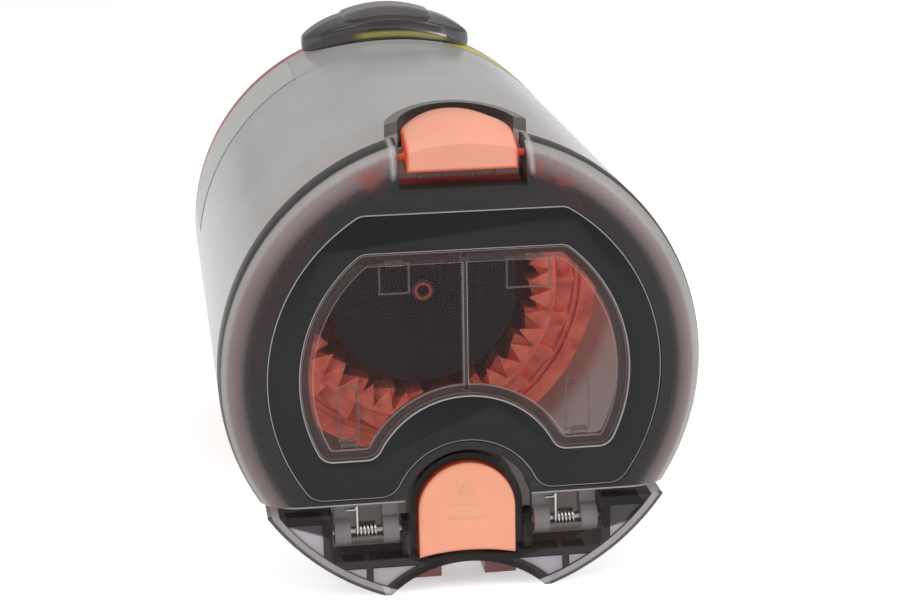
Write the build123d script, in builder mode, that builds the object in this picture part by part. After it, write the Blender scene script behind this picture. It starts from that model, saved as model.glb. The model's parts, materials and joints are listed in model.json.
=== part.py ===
# Cyclone dust bin of a stick vacuum cleaner: a smoky tube with a hinged front lid, a red swirl
# separator round a dark outlet core, and a channel along the underside for the suction tube.
# Frame: the bin axis lies along Y, the lid faces -Y, Z is up, the origin is the rear mouth's centre.
# A station is a distance in front of the rear mouth, so the plane of station s lies at y = -s.

import os
from math import cos, pi, sin

from build123d import *

os.makedirs("parts", exist_ok=True)

# Driving sizes of the bin, in millimetres
bin_radius = 55.0
bin_length = 155.0
wall = 2.2
lid_depth = 11.0
lid_gap = 0.3
flange_depth = 4.0
channel_radius = 26.0
channel_set_out = 15.4
foot_cut = 3.5

# Fits
moulding_gap = 0.15
slip_gap = 0.3
travel_gap = 0.4
pin_gap = 0.05
press_gap = 0.02

# Lid
lid_wall = 2.2
lid_plate = 2.0
lid_rim_round = 8.0
chord_rise = 15.8
seal_width = 2.6
seal_height = 3.2
land_width = 1.7
trim_inset = 2.0
bezel_margin = 10.5
bezel_top_margin = 16.8
bezel_foot_margin = 1.2
bezel_thickness = 1.7
bezel_notch_radius = 17.0
bezel_top_round = 4.0
bezel_foot_round = 5.0
window_margin = 7.5
window_top_margin = 9.0
window_foot_margin = 9.4
window_arch_radius = 22.4
window_arch_rise = 5.35
window_round = 3.5
window_thickness = 1.4
window_lip = 2.6
window_lip_height = 0.5
window_ledge = 1.8
window_rib = 0.9
snap_width = 3.4
snap_thickness = 1.2
snap_hook = 0.9
snap_top_x = 15.5
snap_low_x = 26.5

# Release button and its cup
button_half_width = 11.1
button_foot_radius = 50.0
button_rise = 12.45
button_travel = 3.0
button_face_set_back = 1.2
button_depth = 14.0
button_edge_round = 0.9
cup_wall = 1.5
cup_rim_set_back = 3.5
cup_depth = 6.5
notch_half_width = 15.0
hook_centre_x = 8.8
hook_width = 4.4
hook_length = 3.0
hook_clearance = 0.3
guide_wall = 1.1
arch_wall = 2.0

# Hinge
hinge_set_back = 5.0
hinge_rise = 7.8
hinge_pin_radius = 1.0
knuckle_radius = 3.2
ear_inner_x = 13.0
ear_width = 2.0
knuckle_width = 3.6
knuckle_side_gap = 0.6
pocket_half_width = 30.9
saddle_gap = 2.4
saddle_set_back = 1.0
saddle_rib_x = 22.7
saddle_rib = 1.6
pin_grip = 1.7

# Springs
wire_sides = 4
wire_bend = 3.0
hinge_spring_turns = 3.25
press_spring_turns = 4.0
hinge_spring_centre_x = 22.9
hinge_spring_length = 4.4
hinge_spring_radius = 1.85
hinge_spring_wire = 0.28
hinge_spring_leg = 7.5
hinge_spring_hook = 2.4
button_spring_wire = 0.35
button_spring_radius = 3.0
button_spring_pocket = 8.0
latch_spring_wire = 0.22
latch_spring_radius = 1.1
latch_spring_drop = 1.6
latch_spring_pocket = 3.9

# Latch on the lid and its catch on the bin
latch_half_width = 12.3
latch_notch_half_width = 14.1
latch_notch_depth = 11.5
latch_pivot_set_back = 5.0
latch_pivot_depth = 4.8
latch_stub_radius = 1.1
latch_stub_grip = 1.6
latch_depth = 8.0
latch_front_dip = 2.0
latch_face_set_back = 1.2
latch_crown_rise = 2.7
latch_reach = 23.0
latch_crown_set_back = 13.5
latch_crown_bulge = 0.9
latch_rear_drop = 0.8
latch_rear_round = 12.0
latch_heel_gap = 1.1
tongue_thickness = 2.5
tongue_dip = 2.6
catch_height = 0.9
catch_length = 1.5
catch_half_width = 9.0
catch_set_back = 0.6
guard_wall = 3.2
guard_rise = 3.0

# Rear hood
hood_half_width = 23.4
hood_crown_rise = 6.0
hood_edge_dip = 5.0
hood_edge_x = 24.0
hood_length = 19.0
hood_margin = 1.0
hood_wall = 2.0
hood_slot_half_width = 18.0
hood_pad_half_width = 12.0
hood_pad_rise = 2.4
hood_pad_length = 11.5

# Separator and core
sleeve_wall = 1.8
sleeve_shoulder = 8.2
swirl_station = 71.0
swirl_plate = 2.0
vane_root_margin = 5.4
vane_length = 11.0
vane_count = 24
vane_rise = 6.0
vane_grip = 1.2
vane_overlap = 2.0
ridge_count = 3
ridge_height = 0.6
ridge_width = 0.8
web_station = 2.2
web_thickness = 2.2
inlet_margin = 14.0
inlet_width = 15.0
inlet_start = 159.0
inlet_sweep = 42.0
core_margin = 3.5
core_wall = 2.5
core_length = 78.0
core_collar = 2.0
screen_thickness = 2.0
screw_head_radius = 2.7
screw_head_height = 1.6
screw_shank_radius = 1.5
screw_socket_radius = 1.2
hub_radius = 3.2
spoke_width = 2.4
spider_depth = 6.0
spoke_count = 3
gasket_width = 3.0
outlet_seal_width = 2.6

# Derived stations and places
channel_drop = bin_radius + channel_set_out
foot_level = bin_radius - foot_cut
arch_drop = channel_drop - channel_radius
lid_chord = arch_drop - chord_rise
button_centre_drop = arch_drop - button_rise
hinge_drop = arch_drop - hinge_rise
pocket_floor_drop = arch_drop - arch_wall
saddle_top_drop = lid_chord + saddle_gap
hook_drop = foot_level - hook_clearance
bezel_radius = bin_radius - bezel_margin
bezel_top = bin_radius - bezel_top_margin
bezel_bottom = lid_chord - bezel_foot_margin
window_radius = bezel_radius - window_margin
window_top = bezel_top - window_top_margin
window_bottom = bezel_bottom - window_foot_margin
window_arch_drop = button_centre_drop - window_arch_rise
latch_notch_floor = bin_radius - latch_notch_depth
latch_pivot_height = bin_radius - latch_pivot_depth
latch_bottom = bin_radius - latch_depth
latch_front_height = bin_radius - latch_front_dip
latch_top_radius = bin_radius + latch_crown_rise
tongue_top = bin_radius - tongue_dip
guard_radius = bin_radius + guard_rise
hood_height = bin_radius + hood_crown_rise
hood_edge_height = bin_radius - hood_edge_dip
vane_root_radius = arch_drop - vane_root_margin
vane_tip_radius = vane_root_radius - vane_length
core_radius = vane_tip_radius - core_margin
core_bore_radius = core_radius - core_wall
inlet_radius = core_radius + inlet_margin
sleeve_radius = vane_root_radius + sleeve_shoulder
land_front = bin_length - lid_depth
land_back = land_front - wall
lid_back = land_front + lid_gap
plate_front = bin_length - trim_inset
plate_back = plate_front - lid_plate
saddle_front = bin_length - saddle_set_back
cup_floor_front = land_front - cup_depth
cup_floor_back = cup_floor_front - wall
cup_inner = button_half_width + travel_gap
cup_outer = cup_inner + cup_wall
button_front = bin_length - button_face_set_back
button_back_station = bin_length - button_depth
hinge_station = bin_length - hinge_set_back
ear_outer_x = ear_inner_x + ear_width
inner_knuckle_x = ear_outer_x + knuckle_side_gap
outer_knuckle_x = pocket_half_width - knuckle_side_gap - knuckle_width
latch_pivot_station = bin_length - latch_pivot_set_back
tongue_front = lid_back + tongue_thickness
latch_front = bin_length - latch_face_set_back
latch_back = bin_length - latch_reach
catch_front = land_front - catch_set_back
catch_back = catch_front - catch_length
nose_front = catch_back - travel_gap
guard_front = land_front - travel_gap
guard_centre = latch_back + latch_half_width
guard_inner = latch_half_width + travel_gap
guard_outer = guard_inner + guard_wall
pin_inner_x = ear_outer_x - pin_grip
pin_outer_x = pocket_half_width + pin_grip
pin_centre_x = (pin_inner_x + pin_outer_x) / 2
pin_half_length = (pin_outer_x - pin_inner_x) / 2
latch_heel = tongue_front + latch_heel_gap
latch_crown = bin_length - latch_crown_set_back
latch_stub_end = latch_notch_half_width + latch_stub_grip
nose_radius = bin_radius + slip_gap
bridge_radius = bin_radius + catch_height + slip_gap
window_arch_top = window_arch_drop - window_arch_radius
snap_top_z = window_top - window_ledge - moulding_gap
snap_low_z = -window_bottom + window_ledge + moulding_gap
snap_places = [
    (-snap_top_x, snap_top_z, 1),
    (snap_top_x, snap_top_z, 1),
    (-snap_low_x, snap_low_z, -1),
    (snap_low_x, snap_low_z, -1),
]
hollow_inset = lid_wall
opening_inset = lid_wall + moulding_gap + seal_width + land_width
screen_front = core_length + screen_thickness
high = 2 * bin_radius


def station(distance):
    """Plane across the bin at a distance in front of the rear mouth, facing the lid."""
    return Plane.XZ.offset(distance)


def bin_outline(inset):
    """Cross-section of the bin: a circle with the tube channel and the foot flats taken out."""
    with BuildSketch() as outline:
        Circle(bin_radius - inset)
        with Locations((0, -channel_drop)):
            Circle(channel_radius + inset, mode=Mode.SUBTRACT)
        with Locations((0, -foot_level + inset)):
            Rectangle(high, bin_radius, align=(Align.CENTER, Align.MAX), mode=Mode.SUBTRACT)
    return outline.sketch


def button_outline(half_width, foot_rise):
    """U shape round the release button: round on top, with a shallow arch above the channel below."""
    with BuildSketch() as outline:
        with Locations((0, -button_centre_drop)):
            Circle(half_width)
            Rectangle(2 * half_width, channel_drop - button_centre_drop, align=(Align.CENTER, Align.MAX))
        with Locations((0, foot_rise - arch_drop - button_foot_radius)):
            Circle(button_foot_radius, mode=Mode.SUBTRACT)
    return outline.sketch


def lid_outline():
    """Front view of the lid: a circle cut by the hinge chord, the button notch and the latch notch."""
    with BuildSketch() as outline:
        Circle(bin_radius)
        with Locations((0, -lid_chord)):
            Rectangle(high, bin_radius, align=(Align.CENTER, Align.MAX), mode=Mode.SUBTRACT)
        with Locations((0, -button_centre_drop)):
            Circle(notch_half_width, mode=Mode.SUBTRACT)
        with Locations((0, latch_notch_floor)):
            Rectangle(
                2 * latch_notch_half_width, bin_radius, align=(Align.CENTER, Align.MIN), mode=Mode.SUBTRACT
            )
    return outline.sketch


def lid_inset(inset):
    """The lid's outline moved inwards."""
    with BuildSketch() as outline:
        add(lid_outline())
        offset(amount=-inset, mode=Mode.REPLACE)
    return outline.sketch


def bezel_outline():
    """Black trim: a circle cut flat above and below, with a notch round the button."""
    with BuildSketch() as outline:
        Circle(bezel_radius)
        with Locations((0, bezel_top)):
            Rectangle(high, bin_radius, align=(Align.CENTER, Align.MIN), mode=Mode.SUBTRACT)
        with Locations((0, -bezel_bottom)):
            Rectangle(high, bin_radius, align=(Align.CENTER, Align.MAX), mode=Mode.SUBTRACT)
        with Locations((0, -button_centre_drop)):
            Circle(bezel_notch_radius, mode=Mode.SUBTRACT)
        corners = outline.vertices().sort_by(Axis.Y)
        fillet(corners[-2:], bezel_top_round)
        fillet(outline.vertices().sort_by(Axis.Y)[:4], bezel_foot_round)
    return outline.sketch


def window_outline(inset):
    """Kidney-shaped window: round sides, flat top and a concave lower edge."""
    with BuildSketch() as outline:
        Circle(window_radius)
        with Locations((0, window_top)):
            Rectangle(high, bin_radius, align=(Align.CENTER, Align.MIN), mode=Mode.SUBTRACT)
        with Locations((0, -window_bottom)):
            Rectangle(high, bin_radius, align=(Align.CENTER, Align.MAX), mode=Mode.SUBTRACT)
        with Locations((0, -window_arch_drop)):
            Circle(window_arch_radius, mode=Mode.SUBTRACT)
        fillet(outline.vertices(), window_round)
        if inset:
            offset(amount=-inset, mode=Mode.REPLACE)
    return outline.sketch


def sleeve_outline(inset):
    """Cross-section of the separator's sleeve: a smaller circle that clears the tube channel."""
    with BuildSketch() as outline:
        add(bin_outline(wall + slip_gap + inset))
        Circle(sleeve_radius - inset, mode=Mode.INTERSECT)
    return outline.sketch


def inlet_outline():
    """Curved slot in the rear web where the dusty air comes in."""
    with BuildSketch() as outline:
        SlotArc(arc=CenterArc((0, 0), inlet_radius, inlet_start, inlet_sweep), height=inlet_width)
    return outline.sketch


def save(piece, name):
    """Label a finished piece and write it."""
    piece.part.label = name
    export_step(piece.part, "parts/" + name + ".step")


# Guard round the rear of the latch: a low horseshoe on the tube's crown, with the catch between its ends
with BuildPart() as latch_guard:
    with BuildSketch(Plane.XY):
        with Locations((0, -guard_centre)):
            Circle(guard_outer)
            Circle(guard_inner, mode=Mode.SUBTRACT)
        with Locations((0, -guard_front)):
            Rectangle(2 * high, high, align=(Align.CENTER, Align.MAX), mode=Mode.SUBTRACT)
    extrude(amount=high)
    with BuildSketch(station(0)):
        Circle(guard_radius)
        Circle(bin_radius - wall / 2, mode=Mode.SUBTRACT)
    extrude(amount=bin_length, mode=Mode.INTERSECT)
    with BuildSketch(station(catch_back)):
        Circle(bin_radius + catch_height)
        Circle(bin_radius - wall / 2, mode=Mode.SUBTRACT)
        Rectangle(2 * catch_half_width, high, align=(Align.CENTER, Align.MIN), mode=Mode.INTERSECT)
    extrude(amount=catch_length)

# Bin body: tube and channel, front land, saddle cells, hinge ears, button cup and hook guides
with BuildPart() as bin_body:
    with BuildSketch(station(flange_depth)):
        add(bin_outline(0))
        add(bin_outline(wall), mode=Mode.SUBTRACT)
    extrude(amount=land_front - flange_depth)
    with BuildSketch(station(land_back)):
        add(bin_outline(0))
        add(lid_inset(opening_inset), mode=Mode.SUBTRACT)
    extrude(amount=wall)
    with BuildSketch(station(land_front)):
        add(bin_outline(0))
        add(bin_outline(wall), mode=Mode.SUBTRACT)
        with Locations((0, -saddle_top_drop)):
            Rectangle(high, wall, align=(Align.CENTER, Align.MAX))
        with Locations((0, -saddle_top_drop)):
            Rectangle(
                2 * (pocket_half_width + wall), pocket_floor_drop + wall - saddle_top_drop,
                align=(Align.CENTER, Align.MAX),
            )
        with Locations((-saddle_rib_x, -pocket_floor_drop), (saddle_rib_x, -pocket_floor_drop)):
            Rectangle(saddle_rib, bin_radius - pocket_floor_drop, align=(Align.CENTER, Align.MAX))
        with Locations((0, -saddle_top_drop)):
            Rectangle(high, high, align=(Align.CENTER, Align.MAX), mode=Mode.INTERSECT)
        add(bin_outline(0), mode=Mode.INTERSECT)
        with Locations((0, -pocket_floor_drop)):
            Rectangle(
                2 * pocket_half_width, bin_radius, align=(Align.CENTER, Align.MIN), mode=Mode.SUBTRACT
            )
    extrude(amount=saddle_front - land_front)
    for side in (-1, 1):
        with BuildSketch(Plane.YZ.offset(side * (ear_inner_x + ear_width / 2))):
            with Locations((-hinge_station, -hinge_drop)):
                Circle(knuckle_radius)
                Rectangle(2 * knuckle_radius, pocket_floor_drop - hinge_drop + wall / 2,
                          align=(Align.CENTER, Align.MAX))
            with Locations((-land_front, -hinge_drop)):
                Rectangle(hinge_station - land_front, pocket_floor_drop - hinge_drop + wall / 2,
                          align=(Align.MAX, Align.MAX))
        extrude(amount=ear_width / 2, both=True)
    with BuildSketch(station(cup_floor_back)):
        add(button_outline(cup_outer, 0))
    extrude(amount=bin_length - cup_rim_set_back - cup_floor_back)
    for side in (-1, 1):
        with BuildSketch(station(button_back_station - button_travel - travel_gap - guide_wall)):
            with Locations((side * hook_centre_x, -hook_drop)):
                Rectangle(
                    hook_width + 2 * (travel_gap + guide_wall), hook_drop - pocket_floor_drop,
                    align=(Align.CENTER, Align.MIN),
                )
        extrude(amount=button_travel + hook_length + 2 * (travel_gap + guide_wall))
    with BuildSketch(station(cup_floor_front)):
        add(button_outline(cup_inner, arch_wall))
    extrude(amount=bin_length - cup_floor_front, mode=Mode.SUBTRACT)
    for side in (-1, 1):
        with BuildSketch(station(button_back_station - button_travel - travel_gap)):
            with Locations((side * hook_centre_x, -hook_drop - wall)):
                Rectangle(
                    hook_width + 2 * travel_gap, hook_drop + wall - button_centre_drop,
                    align=(Align.CENTER, Align.MIN),
                )
        extrude(amount=button_travel + hook_length + 2 * travel_gap, mode=Mode.SUBTRACT)
        with BuildSketch(Plane.YZ.offset(side * pin_centre_x)):
            with Locations((-hinge_station, -hinge_drop)):
                Circle(hinge_pin_radius + press_gap)
        extrude(amount=pin_half_length + press_gap, both=True, mode=Mode.SUBTRACT)
    add(latch_guard.part)
save(bin_body, "bin_body")

# Hood over the rear catch: a shallow arched cover with a round front and a raised pad, open at the rear
hood_rise = hood_height - hood_edge_height
hood_arch_radius = (hood_edge_x**2 + hood_rise**2) / (2 * hood_rise)
hood_arch_centre = hood_height - hood_arch_radius


def hood_section(half_width, inset, seat):
    """Space between the hood's arch and a circle about the bin axis."""
    with BuildSketch() as section:
        with Locations((0, hood_arch_centre)):
            Circle(hood_arch_radius - inset)
        with Locations((0, hood_arch_centre)):
            Rectangle(2 * half_width, high, align=(Align.CENTER, Align.MIN), mode=Mode.INTERSECT)
        Circle(seat, mode=Mode.SUBTRACT)
    return section.sketch


with BuildPart() as hood_hollow:
    with BuildSketch(station(flange_depth)):
        add(hood_section(hood_slot_half_width, hood_wall, bin_radius - hood_wall))
    extrude(amount=hood_length)
    with BuildSketch(Plane.XY):
        with Locations((0, -flange_depth)):
            Ellipse(hood_half_width + hood_margin - hood_wall, hood_length - hood_wall)
    extrude(amount=high, mode=Mode.INTERSECT)

with BuildPart() as catch_hood:
    with BuildSketch(station(flange_depth)):
        add(hood_section(hood_half_width, 0, bin_radius + moulding_gap))
    extrude(amount=hood_length + wall)
    with BuildSketch(station(flange_depth)):
        add(hood_section(hood_pad_half_width, -hood_pad_rise, bin_radius + hood_wall))
    extrude(amount=hood_pad_length)
    with BuildSketch(Plane.XY):
        with Locations((0, -flange_depth)):
            Ellipse(hood_half_width + hood_margin, hood_length)
    extrude(amount=high, mode=Mode.INTERSECT)
    add(hood_hollow.part, mode=Mode.SUBTRACT)
save(catch_hood, "catch_hood")

# One swirl vane: a saw tooth, flat behind, whose front slopes from its straight edge to the next tooth
vane_base_radius = vane_root_radius + vane_grip
vane_angle = vane_overlap * 2 * pi / vane_count
vane_fall = vane_base_radius * sin(vane_angle)
with BuildPart() as vane:
    with BuildSketch():
        with BuildLine():
            Polyline(
                (vane_base_radius, 0),
                (vane_tip_radius, 0),
                (vane_base_radius * cos(vane_angle), -vane_fall),
                close=True,
            )
        make_face()
    extrude(amount=swirl_plate + vane_rise)
    split(
        bisect_by=Plane((0, 0, swirl_plate + vane_rise), x_dir=(1, 0, 0), z_dir=(0, -vane_rise, vane_fall)),
        keep=Keep.BOTTOM,
    )

# Red separator: rear flange and web, sleeve, ribbed shoulder and a ring of overlapping swirl vanes
sleeve_inset = wall + slip_gap
ridge_pitch = (sleeve_shoulder - sleeve_wall) / (ridge_count + 1)
with BuildPart() as separator_ring:
    with BuildSketch(station(0)):
        add(bin_outline(0))
        add(bin_outline(sleeve_inset + sleeve_wall), mode=Mode.SUBTRACT)
    extrude(amount=flange_depth)
    with BuildSketch(station(web_station)):
        add(bin_outline(sleeve_inset))
        Circle(core_radius + slip_gap, mode=Mode.SUBTRACT)
        add(inlet_outline(), mode=Mode.SUBTRACT)
    extrude(amount=web_thickness)
    with BuildSketch(station(web_station)):
        add(sleeve_outline(0))
        add(sleeve_outline(sleeve_wall), mode=Mode.SUBTRACT)
    extrude(amount=swirl_station - web_station)
    with BuildSketch(station(swirl_station - swirl_plate)):
        add(sleeve_outline(0))
        Circle(vane_root_radius, mode=Mode.SUBTRACT)
    extrude(amount=swirl_plate)
    for ridge in range(1, ridge_count + 1):
        ridge_radius = vane_root_radius + ridge * ridge_pitch
        with BuildSketch(station(swirl_station)):
            Circle(ridge_radius)
            Circle(ridge_radius - ridge_width, mode=Mode.SUBTRACT)
            add(sleeve_outline(sleeve_wall), mode=Mode.INTERSECT)
        extrude(amount=ridge_height)
    with Locations(station(swirl_station - swirl_plate)):
        with PolarLocations(0, vane_count):
            add(vane.part)
save(separator_ring, "separator_ring")

# Outlet core: a plain tube held in the separator's web, with a spider that takes the screen's screw
with BuildPart() as core_tube:
    with BuildSketch(station(0)):
        Circle(core_radius)
        Circle(core_bore_radius, mode=Mode.SUBTRACT)
    extrude(amount=core_length)
    with BuildSketch(station(web_station + web_thickness)):
        Circle(core_radius + core_collar)
        Circle(core_bore_radius, mode=Mode.SUBTRACT)
    extrude(amount=core_collar)
    with BuildSketch(station(core_length - spider_depth)):
        Circle(core_radius)
        Circle(core_bore_radius - core_collar, mode=Mode.SUBTRACT)
        Circle(hub_radius)
        with PolarLocations((core_radius + screw_shank_radius) / 2, spoke_count):
            Rectangle(core_radius - screw_shank_radius, spoke_width)
        Circle(screw_shank_radius + moulding_gap, mode=Mode.SUBTRACT)
    extrude(amount=spider_depth)
save(core_tube, "core_tube")

# Fine-mesh disc on the core's front end
with BuildPart() as core_screen:
    with BuildSketch(station(core_length)):
        Circle(core_radius)
        Circle(screw_shank_radius + moulding_gap, mode=Mode.SUBTRACT)
    extrude(amount=screen_thickness)
save(core_screen, "core_screen")

# Screw with a round flanged head that holds the screen
with BuildPart() as screen_screw:
    with BuildSketch(station(core_length - spider_depth)):
        Circle(screw_shank_radius)
    extrude(amount=spider_depth + screen_thickness)
    with BuildSketch(station(screen_front)):
        Circle(screw_head_radius)
    extrude(amount=screw_head_height)
    with BuildSketch(station(screen_front)):
        Circle(screw_socket_radius)
    extrude(amount=screw_head_height, mode=Mode.SUBTRACT)
save(screen_screw, "screen_screw")

# Rubber seals on the rear web: one round the mouth, one round the outlet
gasket_inset = sleeve_inset + sleeve_wall + moulding_gap
with BuildPart() as rear_gasket:
    with BuildSketch(station(0)):
        add(bin_outline(gasket_inset))
        add(bin_outline(gasket_inset + gasket_width), mode=Mode.SUBTRACT)
    extrude(amount=web_station)
save(rear_gasket, "rear_gasket")

with BuildPart() as outlet_seal:
    with BuildSketch(station(0)):
        Circle(core_radius + moulding_gap + outlet_seal_width)
        Circle(core_radius + moulding_gap, mode=Mode.SUBTRACT)
    extrude(amount=web_station)
save(outlet_seal, "outlet_seal")

# Lid: a shallow cap with a rounded rim, a recess for the trim, hinge knuckles and a latch tongue
with BuildPart() as lid_cover:
    with BuildSketch(station(lid_back)):
        add(lid_outline())
    extrude(amount=bin_length - lid_back)
    with BuildSketch(Plane.XY):
        with BuildLine():
            Polyline(
                (0, -bin_length), (0, -lid_back), (bin_radius, -lid_back),
                (bin_radius, -bin_length + lid_rim_round),
            )
            RadiusArc(
                (bin_radius, -bin_length + lid_rim_round), (bin_radius - lid_rim_round, -bin_length),
                lid_rim_round,
            )
            Line((bin_radius - lid_rim_round, -bin_length), (0, -bin_length))
        make_face()
    revolve(axis=Axis.Y, mode=Mode.INTERSECT)
    with BuildSketch(station(lid_back)):
        add(lid_inset(hollow_inset))
    extrude(amount=plate_back - lid_back, mode=Mode.SUBTRACT)
    with BuildSketch(station(plate_front)):
        add(bezel_outline())
        offset(amount=moulding_gap, mode=Mode.REPLACE)
    extrude(amount=trim_inset, mode=Mode.SUBTRACT)
    with BuildSketch(station(plate_back)):
        add(window_outline(window_ledge))
    extrude(amount=lid_plate, mode=Mode.SUBTRACT)
    with BuildSketch(station(lid_back)):
        Circle(tongue_top)
        with Locations((0, latch_notch_floor - lid_wall)):
            Rectangle(
                2 * latch_notch_half_width, bin_radius,
                align=(Align.CENTER, Align.MIN), mode=Mode.INTERSECT,
            )
    extrude(amount=tongue_thickness)
    for side in (-1, 1):
        for knuckle_x in (inner_knuckle_x, outer_knuckle_x):
            with BuildSketch(Plane.YZ.offset(side * (knuckle_x + knuckle_width / 2))):
                with Locations((-hinge_station, -hinge_drop)):
                    Circle(knuckle_radius)
                    Rectangle(
                        knuckle_radius, hinge_drop - lid_chord + lid_wall / 2,
                        align=(Align.MIN, Align.MIN),
                    )
                    Circle(hinge_pin_radius + pin_gap, mode=Mode.SUBTRACT)
            extrude(amount=knuckle_width / 2, both=True)
    with BuildSketch(Plane.YZ):
        with Locations((-latch_pivot_station, latch_pivot_height)):
            Circle(latch_stub_radius + pin_gap)
    extrude(amount=latch_stub_end + slip_gap, both=True, mode=Mode.SUBTRACT)
save(lid_cover, "lid_cover")

# Red seal in the lid's skirt
with BuildPart() as lid_seal:
    with BuildSketch(station(lid_back)):
        add(lid_inset(hollow_inset + moulding_gap))
        add(lid_inset(hollow_inset + moulding_gap + seal_width), mode=Mode.SUBTRACT)
    extrude(amount=seal_height)
save(lid_seal, "lid_seal")

# Black trim in the lid's recess
with BuildPart() as lid_bezel:
    with BuildSketch(station(plate_front)):
        add(bezel_outline())
        add(window_outline(-moulding_gap), mode=Mode.SUBTRACT)
    extrude(amount=bezel_thickness)
save(lid_bezel, "lid_bezel")

# Clear window: a plate with a raised lip, a central rib and four snap clips behind
with BuildPart() as lid_window:
    with BuildSketch(station(plate_front)):
        add(window_outline(0))
    extrude(amount=window_thickness)
    with BuildSketch(station(plate_front + window_thickness)):
        add(window_outline(0))
        add(window_outline(window_lip), mode=Mode.SUBTRACT)
        with Locations((0, (window_top - window_arch_top) / 2)):
            Rectangle(window_rib, window_top + window_arch_top)
    extrude(amount=window_lip_height)
    for snap_x, snap_z, outward in snap_places:
        with BuildSketch(Plane.YZ.offset(snap_x)):
            with BuildLine():
                Polyline(
                    (-plate_front, snap_z),
                    (-plate_back + moulding_gap, snap_z),
                    (-plate_back + moulding_gap, snap_z + outward * snap_hook),
                    (-plate_back + moulding_gap + 2 * snap_hook, snap_z),
                    (-plate_back + moulding_gap + 2 * snap_hook, snap_z - outward * snap_thickness),
                    (-plate_front, snap_z - outward * snap_thickness),
                    close=True,
                )
            make_face()
        extrude(amount=snap_width / 2, both=True)
save(lid_window, "lid_window")

# Latch: a rocker on moulded stubs, domed like the tube, with a nose that drops behind the catch
with BuildPart() as latch:
    with BuildSketch(Plane.XY.offset(latch_bottom)) as latch_plan:
        with Locations((0, -(latch_front + latch_back) / 2)):
            Rectangle(2 * latch_half_width, latch_front - latch_back)
        fillet(latch_plan.vertices().group_by(Axis.Y)[-1], latch_rear_round)
    extrude(amount=bin_radius)
    with BuildSketch(Plane.XY):
        with BuildLine():
            Polyline(
                (latch_top_radius - latch_rear_drop, -latch_back), (0, -latch_back), (0, -latch_front),
                (latch_front_height, -latch_front),
            )
            ThreePointArc(
                (latch_front_height, -latch_front),
                (
                    (latch_front_height + latch_top_radius) / 2 + latch_crown_bulge,
                    -(latch_front + latch_crown) / 2,
                ),
                (latch_top_radius, -latch_crown),
            )
            Line((latch_top_radius, -latch_crown), (latch_top_radius - latch_rear_drop, -latch_back))
        make_face()
    revolve(axis=Axis.Y, mode=Mode.INTERSECT)
    with BuildSketch(Plane.XY):
        with BuildLine():
            Polyline(
                (0, -latch_back + wall), (nose_radius, -latch_back + wall), (nose_radius, -nose_front),
                (bridge_radius, -nose_front), (bridge_radius, -lid_back - slip_gap),
                (tongue_top + slip_gap, -lid_back - slip_gap), (tongue_top + slip_gap, -latch_heel),
                (0, -latch_heel), close=True,
            )
        make_face()
    revolve(axis=Axis.Y, mode=Mode.SUBTRACT)
    with BuildSketch(Plane.YZ):
        with Locations((-latch_pivot_station, latch_pivot_height)):
            Circle(latch_stub_radius)
    extrude(amount=latch_stub_end, both=True)
    with BuildSketch(station(latch_heel)):
        with Locations((0, latch_pivot_height - latch_spring_drop)):
            Circle(latch_spring_radius + latch_spring_wire + travel_gap / 2)
    extrude(amount=latch_spring_pocket, mode=Mode.SUBTRACT)
save(latch, "latch")

# Release button: a U-shaped push face with a spring pocket and two hook legs
with BuildPart() as release_button:
    with BuildSketch(station(button_back_station)):
        add(button_outline(button_half_width, arch_wall + travel_gap))
    extrude(amount=button_front - button_back_station)
    fillet(release_button.faces().sort_by(Axis.Y)[0].edges(), button_edge_round)
    with BuildSketch(station(button_back_station)):
        with Locations((-hook_centre_x, -hook_drop), (hook_centre_x, -hook_drop)):
            Rectangle(hook_width, hook_drop - button_centre_drop, align=(Align.CENTER, Align.MIN))
    extrude(amount=hook_length)
    with BuildSketch(station(button_back_station)):
        with Locations((0, -button_centre_drop)):
            Circle(button_spring_radius + button_spring_wire + travel_gap)
    extrude(amount=button_spring_pocket, mode=Mode.SUBTRACT)
save(release_button, "release_button")

# Hinge pins
for side, side_name in ((-1, "left"), (1, "right")):
    with BuildPart() as hinge_pin:
        with BuildSketch(Plane.YZ.offset(side * pin_centre_x)):
            with Locations((-hinge_station, -hinge_drop)):
                Circle(hinge_pin_radius)
        extrude(amount=pin_half_length, both=True)
    save(hinge_pin, "hinge_pin_" + side_name)

# Hinge springs: a coil on each pin, one leg hooked on the lid, one against the bin.
# Both are the same spring, so the left one is the right one moved across.
with BuildPart() as hinge_spring_right:
    with BuildLine() as coil:
        Helix(
            hinge_spring_length / hinge_spring_turns, hinge_spring_length, hinge_spring_radius,
            center=(hinge_spring_centre_x + hinge_spring_length / 2, -hinge_station, -hinge_drop),
            direction=(-1, 0, 0),
        )
    with BuildSketch(Plane(coil.line @ 0, z_dir=coil.line % 0)):
        RegularPolygon(hinge_spring_wire, wire_sides)
    sweep(path=coil.line, is_frenet=True)
    leg_foot = coil.line @ 1 - Vector(0, 0, hinge_spring_wire)
    leg_bend = leg_foot + Vector(0, 0, hinge_spring_leg)
    with BuildLine() as long_leg:
        FilletPolyline(
            leg_foot, leg_bend, leg_bend + Vector(-hinge_spring_hook, 0, 0),
            radius=wire_bend * hinge_spring_wire,
        )
    with BuildSketch(Plane(long_leg.line @ 0, z_dir=long_leg.line % 0)):
        RegularPolygon(hinge_spring_wire, wire_sides)
    sweep(path=long_leg.line)
    short_leg_root = coil.line @ 0 - Vector(0, hinge_spring_wire, 0)
    with BuildLine() as short_leg:
        Line(short_leg_root, Vector(short_leg_root.X, -land_front - slip_gap, short_leg_root.Z))
    with BuildSketch(Plane(short_leg_root, z_dir=(0, 1, 0))):
        RegularPolygon(hinge_spring_wire, wire_sides)
    sweep(path=short_leg.line)
save(hinge_spring_right, "hinge_spring_right")

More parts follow.
